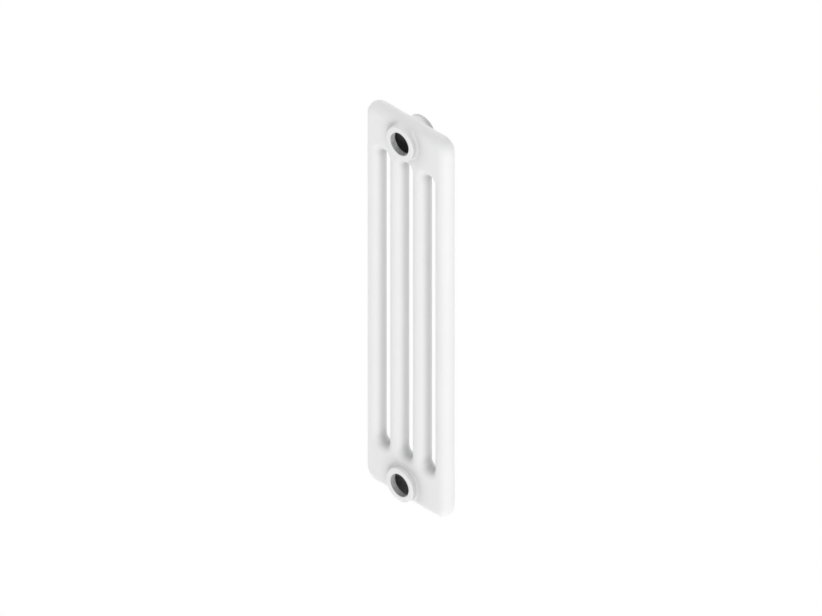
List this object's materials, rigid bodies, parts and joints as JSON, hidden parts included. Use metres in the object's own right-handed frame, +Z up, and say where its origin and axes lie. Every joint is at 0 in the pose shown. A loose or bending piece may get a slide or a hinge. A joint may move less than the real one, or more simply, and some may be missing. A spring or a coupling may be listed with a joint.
{
  "type": "column radiator section",
  "caption": "Single section of a column radiator: round vertical water tubes in one row between two rounded box heads, each with a threaded hub on its front and rear face.",
  "frame": {"origin": "bottom centre of the section's bounding box, on the mid plane between the hub faces", "axes": "+Z up along the columns, +X along the row of columns, Y along the hub axes with the front hub facing -Y"},
  "size_m": [0.1378, 0.04, 0.5534],
  "materials": {
    "white_paint": "smooth satin white stoved paint over pressed steel, nearly matt",
    "hub_paint": "satin white stoved paint over turned steel, nearly matt",
    "thread_steel": "cut thread, bare satin steel",
    "inside_steel": "unpainted inside of the waterway, dull grey"
  },
  "bodies": {
    "root": {"top_head_front_shell": "white_paint", "top_head_rear_shell": "white_paint", "bottom_head_front_shell": "white_paint", "bottom_head_rear_shell": "white_paint", "column_tube_1": "white_paint", "column_tube_2": "white_paint", "column_tube_3": "white_paint", "column_tube_4": "white_paint", "hub_bush_top_front": "hub_paint", "hub_bush_top_rear": "hub_paint", "hub_bush_bottom_front": "hub_paint", "hub_bush_bottom_rear": "hub_paint"}
  },
  "joints": []
}
